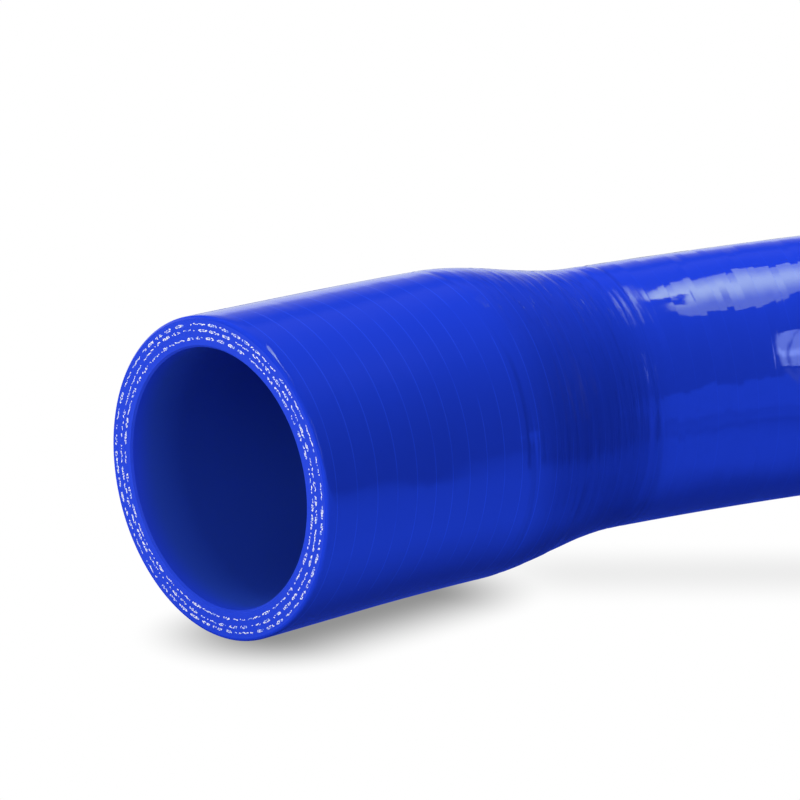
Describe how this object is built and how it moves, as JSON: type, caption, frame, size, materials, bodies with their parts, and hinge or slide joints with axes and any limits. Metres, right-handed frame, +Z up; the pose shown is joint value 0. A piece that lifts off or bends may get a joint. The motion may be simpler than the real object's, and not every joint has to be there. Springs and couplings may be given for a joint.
{
  "type": "radiator hose",
  "caption": "Moulded rubber coolant hose with offset bends, open right through, with a larger socket cuff at each end.",
  "frame": {"origin": "centre of the bounding box in plan, on the floor that the hose rests on", "axes": "+Z up from the floor, +X along the hose's longest extent and the near cuff's heading"},
  "size_m": [0.3284, 0.1362, 0.0565],
  "materials": {
    "hose": "glossy royal-blue silicone rubber over white reinforcing fabric"
  },
  "bodies": {
    "root": {"hose": "hose"}
  },
  "joints": []
}
